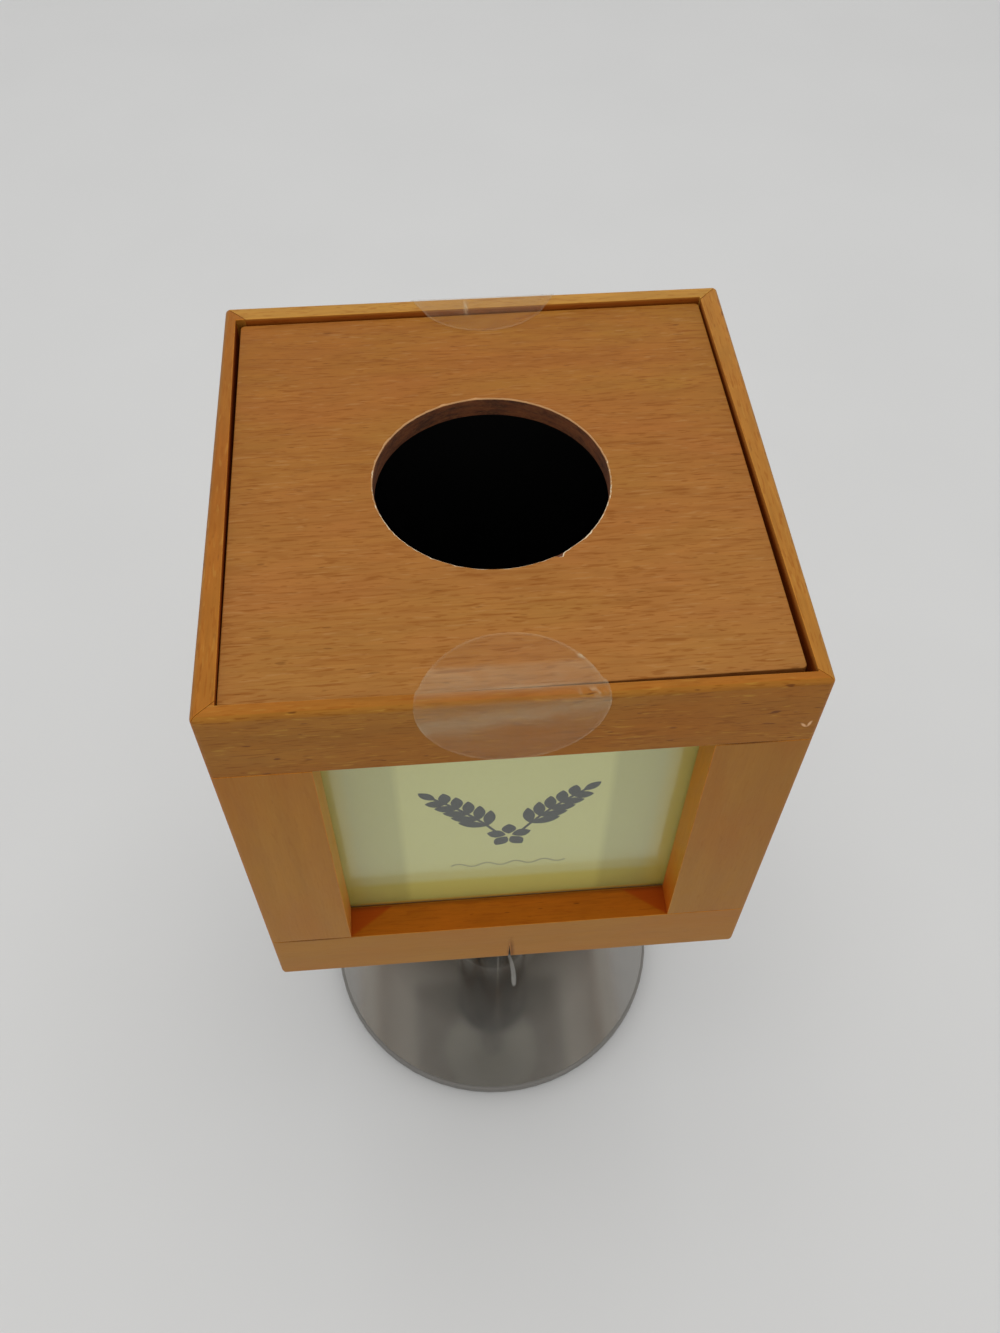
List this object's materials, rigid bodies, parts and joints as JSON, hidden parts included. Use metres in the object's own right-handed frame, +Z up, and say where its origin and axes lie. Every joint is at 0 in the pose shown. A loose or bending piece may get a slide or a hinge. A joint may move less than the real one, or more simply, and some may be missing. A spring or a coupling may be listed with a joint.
{
  "type": "photo cube on a stand",
  "caption": "Wooden picture cube that turns on a round metal stand, with square prints behind glass on its sides and a lift-off lid with a round hole.",
  "frame": {"origin": "middle of the felt pad's underside, on the axis that the cube turns about", "axes": "+Z up through the stand and the cube, -Y out of the front picture, +X to the right seen from the front"},
  "size_m": [0.12, 0.1208, 0.2485],
  "materials": {
    "rail_wood": "satin varnish over a fine straight grain",
    "lid_wood": "satin varnish over flecked grain",
    "plain_wood": "bare",
    "clear_glass": "polished",
    "print_paper": "matt print",
    "grey_board": "bare",
    "black_board": "matt black",
    "clear_film": "clear, wrinkled",
    "satin_steel": "satin grey",
    "turned_steel": "turned and polished",
    "zinc_steel": "zinc plated",
    "black_nylon": "turned nylon",
    "white_nylon": "nylon",
    "felt": "felt"
  },
  "bodies": {
    "stand": {"base_pad": "felt", "base_disc": "satin_steel", "base_screw": "zinc_steel", "column_tube": "turned_steel", "column_foot": "zinc_steel", "column_cap": "black_nylon", "guide_bush": "black_nylon", "thrust_washer": "white_nylon"},
    "cube": {"spindle": "turned_steel", "retaining_clip": "zinc_steel", "mounting_flange": "zinc_steel", "set_screw": "zinc_steel", "flange_screw_1": "zinc_steel", "flange_screw_2": "zinc_steel", "flange_screw_3": "zinc_steel", "flange_screw_4": "zinc_steel", "bottom_panel": "plain_wood", "liner_floor": "black_board", "front_top_rail": "rail_wood", "front_bottom_rail": "rail_wood", "front_left_stile": "rail_wood", "front_right_stile": "rail_wood", "front_liner_wall": "black_board", "front_left_post": "plain_wood", "right_top_rail": "rail_wood", "right_bottom_rail": "rail_wood", "right_left_stile": "rail_wood", "right_right_stile": "rail_wood", "right_liner_wall": "black_board", "right_left_post": "plain_wood", "back_top_rail": "rail_wood", "back_bottom_rail": "rail_wood", "back_left_stile": "rail_wood", "back_right_stile": "rail_wood", "back_liner_wall": "black_board", "back_left_post": "plain_wood", "left_top_rail": "rail_wood", "left_bottom_rail": "rail_wood", "left_left_stile": "rail_wood", "left_right_stile": "rail_wood", "left_liner_wall": "black_board", "left_left_post": "plain_wood"},
    "lid": {"lid": "lid_wood", "front_seal": "clear_film", "back_seal": "clear_film"},
    "front_picture": {"front_glass": "clear_glass", "front_print": "print_paper", "front_backing": "grey_board"},
    "right_picture": {"right_glass": "clear_glass", "right_print": "print_paper", "right_backing": "grey_board"},
    "back_picture": {"back_glass": "clear_glass", "back_print": "print_paper", "back_backing": "grey_board"},
    "left_picture": {"left_glass": "clear_glass", "left_print": "print_paper", "left_backing": "grey_board"}
  },
  "joints": [
    {"name": "cube_spin", "type": "hinge", "parent": "stand", "child": "cube", "pos_m": [0, 0, 0.0745], "axis": [0, 0, 1], "continuous": true},
    {"name": "lid_lift", "type": "slide", "parent": "cube", "child": "lid", "axis": [0, 0, 1], "range_m": [0, 0.22]},
    {"name": "front_picture_slide", "type": "slide", "parent": "cube", "child": "front_picture", "axis": [0, 0, 1], "range_m": [0, 0.11]},
    {"name": "right_picture_slide", "type": "slide", "parent": "cube", "child": "right_picture", "axis": [0, 0, 1], "range_m": [0, 0.11]},
    {"name": "back_picture_slide", "type": "slide", "parent": "cube", "child": "back_picture", "axis": [0, 0, 1], "range_m": [0, 0.11]},
    {"name": "left_picture_slide", "type": "slide", "parent": "cube", "child": "left_picture", "axis": [0, 0, 1], "range_m": [0, 0.11]}
  ],
  "couplings": [
    {"joint": "front_picture_slide", "follows": "lid_lift", "ratio": 0.5},
    {"joint": "right_picture_slide", "follows": "lid_lift", "ratio": 0.5},
    {"joint": "back_picture_slide", "follows": "lid_lift", "ratio": 0.5},
    {"joint": "left_picture_slide", "follows": "lid_lift", "ratio": 0.5}
  ]
}
